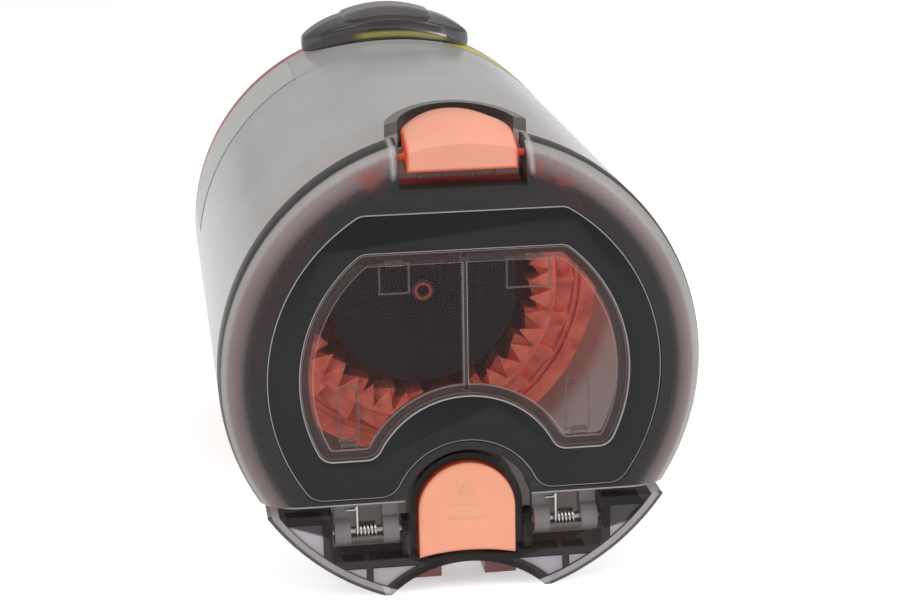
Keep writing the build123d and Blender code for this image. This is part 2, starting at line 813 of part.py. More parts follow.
with BuildPart() as hinge_spring_left:
    with Locations((-2 * hinge_spring_centre_x, 0, 0)):
        add(hinge_spring_right.part)
save(hinge_spring_left, "hinge_spring_left")


def press_spring(name, seat, length, height, radius, wire):
    """Compression spring along the bin axis, from its seat forwards."""
    coil_length = length - 4 * wire
    with BuildPart() as spring:
        with BuildLine() as coil:
            Helix(
                coil_length / press_spring_turns, coil_length, radius,
                center=(0, -seat - 2 * wire, height), direction=(0, -1, 0),
            )
        with BuildSketch(Plane(coil.line @ 0, z_dir=coil.line % 0)):
            RegularPolygon(wire, wire_sides)
        sweep(path=coil.line, is_frenet=True)
    save(spring, name)


press_spring(
    "release_spring", cup_floor_front, button_back_station + button_spring_pocket - cup_floor_front,
    -button_centre_drop, button_spring_radius, button_spring_wire,
)
press_spring(
    "latch_spring", tongue_front, latch_heel + latch_spring_pocket - tongue_front,
    latch_pivot_height - latch_spring_drop, latch_spring_radius, latch_spring_wire,
)
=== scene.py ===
# %% [markdown]
# # A cyclone dust bin, dressed in Blender
# The bin lies on its side with its lid towards us: a smoky tube, a frosted lid rim, a glossy black trim
# round a clear window, two coral buttons and a red swirl separator that shows inside. The measured solids
# are loaded first. They stay where they are, and everything else is fitted to them.

# %% Load the measured solids
import json
import math

import bmesh
import bpy
from mathutils import Matrix, Vector

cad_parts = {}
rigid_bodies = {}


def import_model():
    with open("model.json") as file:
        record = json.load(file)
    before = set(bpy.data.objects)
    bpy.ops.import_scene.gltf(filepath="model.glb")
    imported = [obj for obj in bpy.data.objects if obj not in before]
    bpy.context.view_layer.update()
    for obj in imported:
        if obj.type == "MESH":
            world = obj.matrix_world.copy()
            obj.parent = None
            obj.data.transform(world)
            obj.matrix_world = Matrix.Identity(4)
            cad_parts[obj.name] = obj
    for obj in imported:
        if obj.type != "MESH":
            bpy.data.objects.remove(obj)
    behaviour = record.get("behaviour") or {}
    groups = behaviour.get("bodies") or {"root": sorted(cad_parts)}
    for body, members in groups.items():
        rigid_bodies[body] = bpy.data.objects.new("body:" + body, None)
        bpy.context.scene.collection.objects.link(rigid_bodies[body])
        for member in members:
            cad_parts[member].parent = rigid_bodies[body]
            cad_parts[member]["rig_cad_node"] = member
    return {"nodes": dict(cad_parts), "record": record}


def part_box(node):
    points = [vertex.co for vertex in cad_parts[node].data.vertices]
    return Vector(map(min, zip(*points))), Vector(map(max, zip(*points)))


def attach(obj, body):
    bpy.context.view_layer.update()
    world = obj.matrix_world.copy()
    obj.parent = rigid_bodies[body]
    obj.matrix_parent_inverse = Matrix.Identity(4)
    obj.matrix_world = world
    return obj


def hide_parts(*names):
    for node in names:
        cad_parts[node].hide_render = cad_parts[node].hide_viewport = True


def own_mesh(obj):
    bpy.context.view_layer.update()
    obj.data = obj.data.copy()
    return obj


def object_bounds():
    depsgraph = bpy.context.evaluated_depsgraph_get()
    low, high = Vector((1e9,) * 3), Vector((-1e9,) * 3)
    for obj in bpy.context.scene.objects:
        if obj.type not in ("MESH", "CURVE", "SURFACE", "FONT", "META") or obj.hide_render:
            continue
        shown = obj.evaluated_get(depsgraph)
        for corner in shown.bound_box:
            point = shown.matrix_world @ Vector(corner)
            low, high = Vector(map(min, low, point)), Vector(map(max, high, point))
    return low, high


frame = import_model()
cad_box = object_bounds()
nodes = frame["nodes"]

# %% [markdown]
# The camera stands a little to the left and above, about half a metre from the lid, with a long lens. A
# long lens keeps the tube's sides nearly parallel, as they are in a product photograph. The camera's turn
# is made of three plain steps: round the vertical, down towards the bin, and a slight roll.

# %% Camera
bpy.ops.object.select_all(action="DESELECT")
bpy.ops.object.camera_add(location=(-0.06852, -0.61748, 0.15065))
camera = bpy.context.object
camera.name = "lid_side_camera"
turn = Matrix.Rotation(math.radians(-8.01), 4, "Z")
tilt = Matrix.Rotation(math.radians(90 - 15.83), 4, "X")
roll = Matrix.Rotation(math.radians(-0.946), 4, "Z")
camera.rotation_euler = (turn @ tilt @ roll).to_euler()
camera.data.lens = 88
camera.data.sensor_width = 36
camera.data.clip_start = 0.01
bpy.context.scene.camera = camera
print("camera at", [round(v, 3) for v in camera.location])

# %% [markdown]
# The studio is a white sweep. The floor is a real surface that takes the bin's shadow. A share of plain
# white is added only where the camera, a reflection or a see-through plastic looks at it, so the floor
# reads as white without more light falling on the bin.

# %% Floor
floor_level = cad_box[0].z
bpy.ops.mesh.primitive_plane_add(size=6, location=(0, 0, floor_level))
floor = bpy.context.object
floor.name = "studio_floor"


def fresh_material(name):
    """A new node material: its node tree, and the Principled shader that it starts with."""
    material = bpy.data.materials.new(name)
    material.use_nodes = True
    return material, material.node_tree, material.node_tree.nodes["Principled BSDF"]


def add_node(tree, kind, feeds=None, values=None, **settings):
    """A new node with its settings, its plain socket values and its incoming links."""
    made = tree.nodes.new("ShaderNode" + kind)
    for key, value in settings.items():
        setattr(made, key, value)
    for socket, value in (values or {}).items():
        made.inputs[socket].default_value = value
    for socket, source in (feeds or {}).items():
        tree.links.new(source, made.inputs[socket])
    return made


def scaled(tree, value, factor):
    """A varying value times a plain number."""
    return add_node(tree, "Math", {0: value}, {1: factor}, operation="MULTIPLY").outputs[0]


def largest(tree, first, *others):
    """The largest of several varying values."""
    for other in others:
        first = add_node(tree, "Math", {0: first, 1: other}, operation="MAXIMUM").outputs[0]
    return first


floor_paint, tree, shader = fresh_material("studio_white")
shader.inputs["Base Color"].default_value = (0.86, 0.86, 0.86, 1)
shader.inputs["Roughness"].default_value = 0.9
shader.inputs["Specular IOR Level"].default_value = 0.1
shader.inputs["Emission Color"].default_value = (1, 1, 1, 1)
rays = add_node(tree, "LightPath").outputs
looked_at = largest(tree, rays["Is Camera Ray"], rays["Is Glossy Ray"], rays["Is Transmission Ray"])
tree.links.new(scaled(tree, looked_at, 0.42), shader.inputs["Emission Strength"])
floor.data.materials.append(floor_paint)
print("floor at", round(floor_level, 4))

# %% [markdown]
# Light comes from a pale surrounding and three large soft boxes: one high on the left, one on the right,
# and a long one above the lid that draws the bright line on the rounded rim.

# %% World and soft boxes
world = bpy.data.worlds.new("pale_studio")
bpy.context.scene.world = world
world.use_nodes = True
tree = world.node_tree
sky = tree.nodes["Background"]
sky.inputs["Color"].default_value = (1, 1, 1, 1)
rays = add_node(tree, "LightPath").outputs
looked_at = largest(tree, rays["Is Camera Ray"], rays["Is Transmission Ray"])
level = add_node(tree, "MapRange", {"Value": looked_at}, {"To Min": 0.5, "To Max": 1.0})
tree.links.new(level.outputs["Result"], sky.inputs["Strength"])


def soft_box(name, place, aim, width, height, power):
    """A large rectangular lamp at a place, turned towards a point."""
    bpy.ops.object.light_add(type="AREA", location=place)
    lamp = bpy.context.object
    lamp.name = name
    lamp.data.shape = "RECTANGLE"
    lamp.data.size = width
    lamp.data.size_y = height
    lamp.data.energy = power
    lamp.rotation_euler = (Vector(aim) - Vector(place)).to_track_quat("-Z", "Y").to_euler()
    return lamp


soft_box("box_left", (-0.75, -0.55, 0.65), (0, -0.08, 0), 0.7, 0.7, 5.4)
soft_box("box_right", (0.85, -0.45, 0.5), (0, -0.08, 0), 0.6, 0.6, 5.8)
soft_box("box_top", (0.0, -0.15, 0.9), (0, -0.1, 0), 0.9, 0.5, 1.6)

# %% [markdown]
# Moulded plastic is never quite even. Small node groups carry what several finishes share: a fine grain, a
# slow drift of tone, hairline scratches on the glossy faces, and a ruler that says how far a point lies
# from the bin's axis, along it and above it, in millimetres. Each material places them with its own values.

# %% Groups
def effect_group(name, inputs, outputs):
    """An empty shader group with float inputs and outputs."""
    group = bpy.data.node_groups.new(name, "ShaderNodeTree")
    for label, value in inputs:
        socket = group.interface.new_socket(label, in_out="INPUT", socket_type="NodeSocketFloat")
        socket.default_value = value
    for label in outputs:
        group.interface.new_socket(label, in_out="OUTPUT", socket_type="NodeSocketFloat")
    entry = group.nodes.new("NodeGroupInput")
    out = group.nodes.new("NodeGroupOutput")
    coords = group.nodes.new("ShaderNodeTexCoord")
    return group, entry, out, coords.outputs["Object"]


def place_group(tree, group, **values):
    """A group placed in a material with its own values."""
    return add_node(tree, "Group", values=values, node_tree=group)


print("group tools ready")

# %% [markdown]
# Grain is the fine skin that a mould leaves, and drift is the slow change of tone across a moulding. Both
# are noise, at two very different sizes, read from object coordinates so that they stay with the piece.

# %% Grain and drift
grain, entry, out, point = effect_group(
    "moulded_grain",
    [("Scale", 4000.0), ("Smooth", 0.2), ("Spread", 0.1)],
    ["Height", "Roughness"],
)
specks = add_node(grain, "TexNoise", {"Vector": point, "Scale": entry.outputs["Scale"]}, {"Detail": 3})
spread = add_node(
    grain, "Math",
    {0: specks.outputs["Fac"], 1: entry.outputs["Spread"], 2: entry.outputs["Smooth"]},
    operation="MULTIPLY_ADD",
)
grain.links.new(specks.outputs["Fac"], out.inputs["Height"])
grain.links.new(spread.outputs[0], out.inputs["Roughness"])

drift, entry, out, point = effect_group(
    "tone_drift", [("Scale", 40.0), ("Low", 0.95), ("High", 1.05)], ["Tone"]
)
clouds = add_node(drift, "TexNoise", {"Vector": point, "Scale": entry.outputs["Scale"]}, {"Detail": 2})
stretch = add_node(
    drift, "MapRange",
    {"Value": clouds.outputs["Fac"], "To Min": entry.outputs["Low"], "To Max": entry.outputs["High"]},
    {"From Min": 0.3, "From Max": 0.7},
)
drift.links.new(stretch.outputs["Result"], out.inputs["Tone"])
print("groups:", grain.name, drift.name)

# %% [markdown]
# Hairlines are noise stretched into long thin marks. The ruler turns a point into measures of the bin, so
# that a finish can be laid out in millimetres and not by eye.

# %% Hairlines and ruler
hairlines, entry, out, point = effect_group("hairlines", [("Scale", 90.0), ("Strength", 0.1)], ["Rough"])
slanted = add_node(
    hairlines, "Mapping", {"Vector": point}, {"Rotation": (0.3, 0.7, 0.4), "Scale": (1.0, 12.0, 30.0)}
)
lines = add_node(hairlines, "TexNoise", {"Vector": slanted.outputs[0], "Scale": entry.outputs["Scale"]})
sparse = add_node(
    hairlines, "MapRange", {"Value": lines.outputs["Fac"]}, {"From Min": 0.58, "From Max": 0.72}
)
shown = add_node(
    hairlines, "Math", {0: sparse.outputs["Result"], 1: entry.outputs["Strength"]}, operation="MULTIPLY"
)
hairlines.links.new(shown.outputs[0], out.inputs["Rough"])

ruler, entry, out, point = effect_group("bin_ruler", [], ["Radius", "Station", "Height", "Side", "Across"])
in_mm = add_node(ruler, "VectorMath", {0: point}, {"Scale": 1000.0}, operation="SCALE")
parts = add_node(ruler, "SeparateXYZ", {0: in_mm.outputs[0]})
flat = add_node(ruler, "CombineXYZ", {"X": parts.outputs["X"], "Y": parts.outputs["Z"]})
radius = add_node(ruler, "VectorMath", {0: flat.outputs[0]}, operation="LENGTH")
station = add_node(ruler, "Math", {0: parts.outputs["Y"]}, {1: -1.0}, operation="MULTIPLY")
side = add_node(ruler, "Math", {0: parts.outputs["X"]}, operation="ABSOLUTE")
ruler.links.new(radius.outputs["Value"], out.inputs["Radius"])
ruler.links.new(station.outputs[0], out.inputs["Station"])
ruler.links.new(parts.outputs["Z"], out.inputs["Height"])
ruler.links.new(side.outputs[0], out.inputs["Side"])
ruler.links.new(parts.outputs["X"], out.inputs["Across"])
print("groups:", hairlines.name, ruler.name)

# %% [markdown]
# Every finish starts from the same recipe: a colour that drifts slightly, a roughness that follows the
# grain, and the grain again as a very low bump. What makes one plastic differ from the next comes later.

# %% Plastic recipe
finishes = {}


def give(tree, colour, socket):
    """A plain colour set on a socket, or a varying one linked to it. None leaves it for later."""
    if isinstance(colour, tuple):
        socket.default_value = (*colour, 1)
    elif colour is not None:
        tree.links.new(colour, socket)


def multiplied(tree, colour, tone):
    """The node that multiplies a colour by a varying tone."""
    mix = add_node(tree, "Mix", {"B": tone}, {"Factor": 1}, data_type="RGBA", blend_type="MULTIPLY")
    give(tree, colour, mix.inputs["A"])
    return mix


def moulded(slot, name, colour, smooth, spread=0.1, scale=4000.0, bump=0.05, depth=0.00002):
    """Add a moulded plastic: drifting colour, grained roughness and a low bump."""
    finishes[slot], tree, shader = fresh_material(name)
    tone = place_group(tree, drift, Low=0.94, High=1.06)
    tint = multiplied(tree, colour, tone.outputs["Tone"])
    tree.links.new(tint.outputs["Result"], shader.inputs["Base Color"])
    fine = place_group(tree, grain, Scale=scale, Smooth=smooth, Spread=spread)
    tree.links.new(fine.outputs["Roughness"], shader.inputs["Roughness"])
    relief = add_node(
        tree, "Bump", {"Height": fine.outputs["Height"]}, {"Strength": bump, "Distance": depth}
    )
    tree.links.new(relief.outputs["Normal"], shader.inputs["Normal"])
    return tree, shader, tint


print("recipe ready")

# %% [markdown]
# Rings, lines and dark corners belong to places on the bin. These tools turn a measure into colours or into
# a mask between limits, and lay colours over one another where the masks say so.

# %% Places and masks
def bands(tree, source, low, high, stops):
    """A colour that changes with a measured place: a list of places and their colours."""
    span = add_node(tree, "MapRange", {"Value": source}, {"From Min": low, "From Max": high})
    ramp = add_node(tree, "ValToRGB", {"Fac": span.outputs["Result"]})
    for index, (place, colour) in enumerate(stops):
        if index > 1:
            ramp.color_ramp.elements.new(1.0)
        ramp.color_ramp.elements[index].position = (place - low) / (high - low)
        ramp.color_ramp.elements[index].color = (*colour, 1)
    return ramp.outputs["Color"]


def product(tree, first, *others):
    """Several varying values multiplied: where masks overlap."""
    for other in others:
        first = add_node(tree, "Math", {0: first, 1: other}, operation="MULTIPLY").outputs[0]
    return first


def between(tree, source, low, high, soft):
    """A mask that is one between two places and fades over a soft width."""
    rise = add_node(tree, "MapRange", {"Value": source}, {"From Min": low - soft, "From Max": low + soft})
    fall = add_node(
        tree, "MapRange", {"Value": source},
        {"From Min": high - soft, "From Max": high + soft, "To Min": 1.0, "To Max": 0.0},
    )
    return product(tree, rise.outputs["Result"], fall.outputs["Result"])


def zone(tree, place, **limits):
    """A mask for the ruler's named measures, each with its two limits and its soft width."""
    return product(tree, *(between(tree, place.outputs[key], *span) for key, span in limits.items()))


def far_from(tree, place, measure, shift):
    """The distance from the line where Side is nil and another measure, once shifted, is nil too."""
    moved = add_node(tree, "Math", {0: place.outputs[measure]}, {1: shift}, operation="ADD")
    flat = add_node(tree, "CombineXYZ", {"X": place.outputs["Side"], "Y": moved.outputs[0]})
    return add_node(tree, "VectorMath", {0: flat.outputs[0]}, operation="LENGTH").outputs["Value"]


def leaning(tree, source, slope, base):
    """A measure that grows with another one by a slope."""
    feeds = {0: source, 2: base}
    return add_node(tree, "Math", feeds, {1: slope}, operation="MULTIPLY_ADD").outputs[0]


def layered(tree, colour, *layers):
    """Colours laid over a first one, each with its mask and its greatest share."""
    for mask, over, most in layers:
        share = scaled(tree, mask, most)
        mix = add_node(tree, "Mix", {"Factor": share}, {"B": (*over, 1)}, data_type="RGBA")
        give(tree, colour, mix.inputs["A"])
        colour = mix.outputs["Result"]
    return colour


print("masks ready")

# %% [markdown]
# Smoky plastic hides more the longer the way through it. Real refraction would be slow and dark inside, so
# the shader's Alpha follows the angle of view, and most light passes through for shadows.

# %% See-through and scratched
def see_through(tree, shader, facing, grazing, power=1.0, least=None):
    """Smoky or clear plastic: thin when faced, dense when looked along, and letting most light in."""
    slant = add_node(tree, "LayerWeight", values={"Blend": 0.5})
    curve = add_node(tree, "Math", {0: slant.outputs["Facing"]}, {1: power}, operation="POWER")
    density = add_node(
        tree, "MapRange", {"Value": curve.outputs[0]}, {"To Min": facing, "To Max": grazing}
    ).outputs["Result"]
    if least:
        density = largest(tree, density, least)
    rays = add_node(tree, "LightPath").outputs
    lit = largest(tree, rays["Is Shadow Ray"], rays["Is Diffuse Ray"])
    share = add_node(tree, "MapRange", {"Value": lit}, {"To Min": 1.0, "To Max": 0.3})
    tree.links.new(product(tree, density, share.outputs["Result"]), shader.inputs["Alpha"])


def scratched(tree, shader, strength, scale=90.0):
    """Add hairlines to a finish's roughness."""
    grained = shader.inputs["Roughness"].links[0].from_socket
    marks = place_group(tree, hairlines, Scale=scale, Strength=strength)
    total = add_node(tree, "Math", {0: grained, 1: marks.outputs["Rough"]}, operation="ADD")
    tree.links.new(total.outputs[0], shader.inputs["Roughness"])


print("tools ready")

# %% [markdown]
# The tube is a pale smoky plastic. It looks almost solid along its sides and thinner where it is faced, so
# its density follows the angle of view. Near the lid a faint pink ring shows, where the red seal glows
# through the wall. The saddle at its foot is thick and reads as dark. The crescent behind the latch is
# thick too, and its inner wall is painted near black as painted shade in the recess round the latch.
# Painted shade darkens the tube's left flank, and a thin painted shadow lies along the grey sticker's front
# edge.

# %% Smoky tube
tree, shader, tint = moulded("smoky_plastic", "smoky_tube", None, 0.16, 0.04, bump=0.01)
shader.inputs["Specular IOR Level"].default_value = 0.15
place = place_group(tree, ruler)
colour = bands(
    tree, place.outputs["Station"], 0, 150,
    [(2, (0.30, 0.29, 0.285)), (6, (0.37, 0.366, 0.357)), (136, (0.36, 0.355, 0.345)),
     (140, (0.40, 0.345, 0.335)), (143, (0.36, 0.34, 0.33))],
)
# Painted shade: the tube's left flank is darkened, as if turned away from the light.
left_flank_shade = zone(tree, place, Across=(-70, -46, 7))
# Painted shadow: a thin dark line along the grey sticker's front edge, the shadow cast by its edge.
sticker_edge_shadow = zone(tree, place, Station=(34.75, 35.25, 0.1), Across=(-70, -20, 4))
pink_line = zone(tree, place, Station=(139.2, 139.9, 0.2))
grey_line = zone(tree, place, Station=(127.8, 128.3, 0.15))
saddle = zone(tree, place, Station=(144.8, 160, 0.3), Radius=(0, 52.9, 0.1))
outer_wall = zone(tree, place, Station=(144.8, 160, 0.3), Radius=(52.9, 54.2, 0.1))
outline = zone(tree, place, Station=(152.5, 160, 0.3), Radius=(54.2, 60, 0.1))
guard = zone(tree, place, Radius=(55.3, 70, 0.1), Height=(40, 70, 0.5))
# Painted shade: the inner wall of the crescent round the latch is near black, the shade of its recess.
near_latch = between(tree, far_from(tree, place, "Station", -144.3), 0, 13.0, 0.12)
proud = product(tree, near_latch, zone(tree, place, Height=(48, 70, 0.5)))
lugs = between(tree, far_from(tree, place, "Height", 70.4), 0, 25.7, 0.1)
colour = layered(
    tree, colour,
    (left_flank_shade, (0.14, 0.14, 0.145), 0.75), (sticker_edge_shadow, (0.09, 0.09, 0.09), 0.8),
    (pink_line, (0.42, 0.24, 0.23), 0.7), (grey_line, (0.25, 0.25, 0.245), 0.6),
    (saddle, (0.014, 0.012, 0.011), 1), (outer_wall, (0.42, 0.395, 0.43), 1),
    (outline, (0.05, 0.045, 0.045), 1), (guard, (0.13, 0.12, 0.117), 1),
    (proud, (0.022, 0.020, 0.021), 1), (lugs, (0.42, 0.20, 0.19), 1),
)
tree.links.new(colour, tint.inputs["A"])
thick = scaled(tree, largest(tree, saddle, proud, guard), 0.9)
see_through(tree, shader, 0.52, 0.99, 0.8, least=thick)
scratched(tree, shader, 0.03)
print("smoky tube: nodes", len(tree.nodes))

# %% [markdown]
# The hood over the rear catch is the same plastic, moulded so thick that it looks nearly black. Its pad is
# a little lighter. Over the yellow sticker its foot is thin, so that the yellow shows through.

# %% Smoky hood
tree, shader, tint = moulded("smoky_hood", "smoky_hood", None, 0.1, 0.05, bump=0.01)
shader.inputs["Specular IOR Level"].default_value = 0.35
see_through(tree, shader, 0.78, 0.97)
place = place_group(tree, ruler)
colour = bands(
    tree, place.outputs["Radius"], 54, 66, [(60.6, (0.026, 0.023, 0.024)), (62.0, (0.085, 0.076, 0.072))]
)
tree.links.new(colour, tint.inputs["A"])
foot = zone(tree, place, Radius=(55.9, 57.6, 0.3), Across=(-9, 17, 2))
thin = add_node(tree, "MapRange", {"Value": foot}, {"To Min": 1.0, "To Max": 0.25})
whole = shader.inputs["Alpha"].links[0].from_socket
tree.links.new(product(tree, whole, thin.outputs["Result"]), shader.inputs["Alpha"])
scratched(tree, shader, 0.04)
print("smoky hood: nodes", len(tree.nodes))

# %% [markdown]
# The lid's rim is the same plastic with a sand-blasted face. Rings are painted on it: dark next to the
# trim, pinkish in the middle where the red seal shows through, pale on the outer round as a painted
# highlight, and a thin dark line at the very edge as painted shade in the gap to the tube. They belong to
# the place on the lid, so they are measured from its axis, and shifted a little across it so that its right
# side reads lighter, as painted light from the right.

# %% Frosted lid
tree, shader, tint = moulded("smoky_lid", "frosted_smoke", None, 0.36, 0.12, 5000.0, 0.06, 0.00004)
shader.inputs["Specular IOR Level"].default_value = 0.35
see_through(tree, shader, 0.8, 0.96)
place = place_group(tree, ruler)
# Painted light: the rings are shifted across the lid so that its right side reads lighter, as if lit from
# the right. The pale band on the outer round is a painted highlight.
rings = leaning(tree, place.outputs["Across"], 0.009, place.outputs["Radius"])
colour = bands(
    tree, rings, 40, 56,
    [(47.6, (0.018, 0.018, 0.020)), (48.7, (0.036, 0.035, 0.037)), (49.8, (0.125, 0.104, 0.103)),
     (50.9, (0.180, 0.132, 0.131)), (52.3, (0.215, 0.175, 0.172)), (53.1, (0.35, 0.33, 0.315)),
     (54.2, (0.32, 0.305, 0.295))],
)
coords = add_node(tree, "TexCoord")
blotches = add_node(tree, "TexNoise", {"Vector": coords.outputs["Object"]}, {"Scale": 220.0, "Detail": 2})
patchy = add_node(
    tree, "MapRange", {"Value": blotches.outputs["Fac"]}, {"From Min": 0.35, "From Max": 0.65}
)
glow = zone(tree, place, Side=(14.0, 25, 2.0), Height=(38, 60, 3), Radius=(48.0, 52.5, 1.0))
# Painted shade: a thin dark line at the rim's outer edge and a dark rear face, where the gap between lid
# and tube lies in shade.
rim_gap_shade = zone(tree, place, Radius=(54.35, 60, 0.15))
rear_gap_shade = zone(tree, place, Station=(140, 145.0, 0.2))
tongue = zone(tree, place, Side=(-1, 13.6, 0.3), Station=(140, 149, 0.4))
tongue_top = product(tree, tongue, zone(tree, place, Height=(42.5, 60, 0.4)))
tongue_red = product(tree, tongue, zone(tree, place, Height=(42.6, 44.3, 0.3)))
notch = zone(tree, place, Radius=(48.6, 60, 0.8), Height=(43.2, 60, 0.3))
# Painted light: a pale band on the notch's rounded corners is a painted highlight, and a dark band on its
# cheeks is painted shade.
corner = product(tree, notch, zone(tree, place, Side=(14.9, 15.7, 0.45)))
notch_cheek_shade = product(tree, notch, zone(tree, place, Side=(13.9, 14.35, 0.15)))
hinge_side = zone(tree, place, Height=(-60, -29.3, 0.2))
# Painted reflection: a deep red on the lid beside the lower part of the button, the coral button reflected
# in the smoky lid.
button_reflection = zone(tree, place, Side=(11, 15.6, 0.3), Height=(-42, -33.5, 0.6))
chord_line = zone(tree, place, Height=(-28.7, -28.25, 0.06), Station=(154.3, 160, 0.2))
colour = layered(
    tree, colour,
    (rim_gap_shade, (0.026, 0.025, 0.027), 1), (rear_gap_shade, (0.035, 0.034, 0.035), 1),
    (product(tree, glow, patchy.outputs["Result"]), (0.24, 0.06, 0.055), 0.7),
    (tongue_top, (0.27, 0.205, 0.19), 1), (tongue_red, (0.30, 0.03, 0.025), 1),
    (corner, (0.50, 0.475, 0.46), 0.8), (notch_cheek_shade, (0.045, 0.040, 0.041), 0.9),
    (hinge_side, (0.21, 0.19, 0.195), 1), (button_reflection, (0.30, 0.045, 0.035), 0.85),
    (chord_line, (0.36, 0.33, 0.33), 1),
)
sparkle = place_group(tree, drift, Scale=3200.0, Low=0.9, High=1.1)
sanded = multiplied(tree, colour, sparkle.outputs["Tone"])
tree.links.new(sanded.outputs["Result"], tint.inputs["A"])
print("frosted lid: nodes", len(tree.nodes))

# %% [markdown]
# The trim round the window is polished black, the window is clear with a trace of smoke. Both get
# hairlines, because polished plastic never stays perfect. Their rounded edges get a pale colour of their
# own, a painted highlight that stands for the light gathering there and draws the thin pale outlines that
# make the shapes readable.

# %% Trim and window
tree, shader, tint = moulded("gloss_black", "piano_black", (0.012, 0.0125, 0.014), 0.15)
shader.inputs["Specular IOR Level"].default_value = 0.2
scratched(tree, shader, 0.06)
# Painted highlight: the pale colour of the rounded edge strips on the trim and the window.
moulded("trim_edge_highlight", "trim_edge_highlight", (0.42, 0.41, 0.395), 0.18)
tree, shader, tint = moulded("clear_plastic", "clear_window", None, 0.05)
shader.inputs["Specular IOR Level"].default_value = 0.4
place = place_group(tree, ruler)
lip = zone(tree, place, Station=(154.55, 160, 0.1))
rib = zone(tree, place, Side=(-1, 0.5, 0.05))
rib_edge = zone(tree, place, Side=(0.5, 0.75, 0.05))
colour = layered(
    tree, (0.075, 0.06, 0.058),
    (lip, (0.095, 0.058, 0.057), 1), (rib, (0.03, 0.024, 0.027), 1), (rib_edge, (0.16, 0.125, 0.125), 1),
)
tree.links.new(colour, tint.inputs["A"])
marks = largest(tree, scaled(tree, rib, 0.75), scaled(tree, rib_edge, 0.45), scaled(tree, lip, 0.36))
see_through(tree, shader, 0.1, 0.5, 2.0, least=marks)
scratched(tree, shader, 0.05)
tree, shader, tint = moulded("window_edge_highlight", "window_edge_highlight", (0.34, 0.25, 0.24), 0.2)
see_through(tree, shader, 0.6, 0.9)
tree, shader, tint = moulded("clip_edge", "clip_edge", (0.17, 0.14, 0.14), 0.25)
see_through(tree, shader, 0.35, 0.7)
print("finishes so far:", len(finishes))

# %% [markdown]
# The two buttons are a satin coral plastic. It is slightly milky: light that enters near an edge comes out
# redder, so the faces are soft and pale while the side walls are a deep orange red. A little subsurface
# light gives the softness. The deep red of the side walls and of the latch's low front band is painted by
# the measured place, standing for that redder light.

# %% Coral buttons
def milky(shader, weight, radius):
    """Let a little light sink into a plastic and come out redder."""
    shader.inputs["Subsurface Weight"].default_value = weight
    shader.inputs["Subsurface Radius"].default_value = radius
    shader.inputs["Subsurface Scale"].default_value = 0.002


coral_face = (0.89, 0.372, 0.238)
latch_face = (0.765, 0.325, 0.222)
# Painted light: the deep red laid on side walls and low edges stands for the redder light that the milky
# plastic sends out there.
painted_coral_red = (0.62, 0.075, 0.02)
coral_sink = (1.0, 0.3, 0.15)
tree, shader, tint = moulded("coral_latch", "coral_latch", None, 0.4, 0.15, 5000.0, 0.12)
milky(shader, 0.15, coral_sink)
place = place_group(tree, ruler)
latch_low_painted_red = zone(tree, place, Height=(40, 47.5, 0.25))
colour = bands(tree, place.outputs["Side"], 0, 12.6, [(11.5, latch_face), (12.15, painted_coral_red)])
tree.links.new(layered(tree, colour, (latch_low_painted_red, painted_coral_red, 1)), tint.inputs["A"])
tree, shader, tint = moulded("orange_plastic", "coral_button", None, 0.4, 0.15, 5000.0, 0.12)
milky(shader, 0.15, coral_sink)
place = place_group(tree, ruler)
colour = bands(tree, place.outputs["Station"], 150, 154, [(152.6, painted_coral_red), (153.25, coral_face)])
tree.links.new(colour, tint.inputs["A"])
print("finishes so far:", len(finishes))

# %% [markdown]
# Inside, the swirl separator is a clear red whose colour changes in faint rings round the axis and in
# blots. The seal is a deeper red rubber, and the core is a near-black tube.

# %% Reds and core
tree, shader, tint = moulded("red_plastic", "swirl_red", None, 0.28, 0.12)
milky(shader, 0.1, (1.0, 0.15, 0.1))
place = place_group(tree, ruler)
rings = scaled(tree, place.outputs["Radius"], 9.0)
wave = add_node(tree, "Math", {0: rings}, operation="SINE")
coords = add_node(tree, "TexCoord")
blots = add_node(tree, "TexNoise", {"Vector": coords.outputs["Object"]}, {"Scale": 260.0, "Detail": 3})
mottled = leaning(tree, wave.outputs[0], 0.07, blots.outputs["Fac"])
colour = bands(
    tree, mottled, 0, 1,
    [(0.25, (0.58, 0.08, 0.052)), (0.5, (0.87, 0.165, 0.105)), (0.8, (0.96, 0.25, 0.165))],
)
flange = zone(tree, place, Radius=(50, 60, 0.5), Station=(-1, 4.5, 0.2))
tree.links.new(layered(tree, colour, (flange, (0.33, 0.06, 0.05), 1)), tint.inputs["A"])
moulded("red_rubber", "seal_red", (0.45, 0.04, 0.03), 0.55)
moulded("dark_plastic", "core_dark", (0.018, 0.012, 0.015), 0.45)
print("finishes so far:", len(finishes))

# %% [markdown]
# A fine mesh closes the core. It is far too fine to model, so two crossed sine waves darken its holes. Its
# screw shows as a small red ring, measured from the screw's own axis.

# %% Mesh and its screw
tree, shader, tint = moulded("screen_plastic", "fine_mesh", None, 0.55)
shader.inputs["Specular IOR Level"].default_value = 0.2
coords = add_node(tree, "TexCoord")
threads = add_node(
    tree, "VectorMath", {0: coords.outputs["Object"]}, {"Scale": 15000.0}, operation="SCALE"
)
waves = add_node(tree, "VectorMath", {0: threads.outputs[0]}, operation="SINE")
parts = add_node(tree, "SeparateXYZ", {0: waves.outputs[0]})
crossed = largest(tree, parts.outputs["X"], parts.outputs["Z"])
woven = add_node(
    tree, "MapRange", {"Value": crossed},
    {"From Min": -0.4, "From Max": 0.8, "To Min": 0.92, "To Max": 1.05},
)
holes = multiplied(tree, (0.015, 0.009, 0.014), woven.outputs["Result"])
tree.links.new(holes.outputs["Result"], tint.inputs["A"])
tree, shader, tint = moulded("screw_head", "screw_head", None, 0.35)
low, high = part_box("screen_screw")
coords = add_node(tree, "TexCoord")
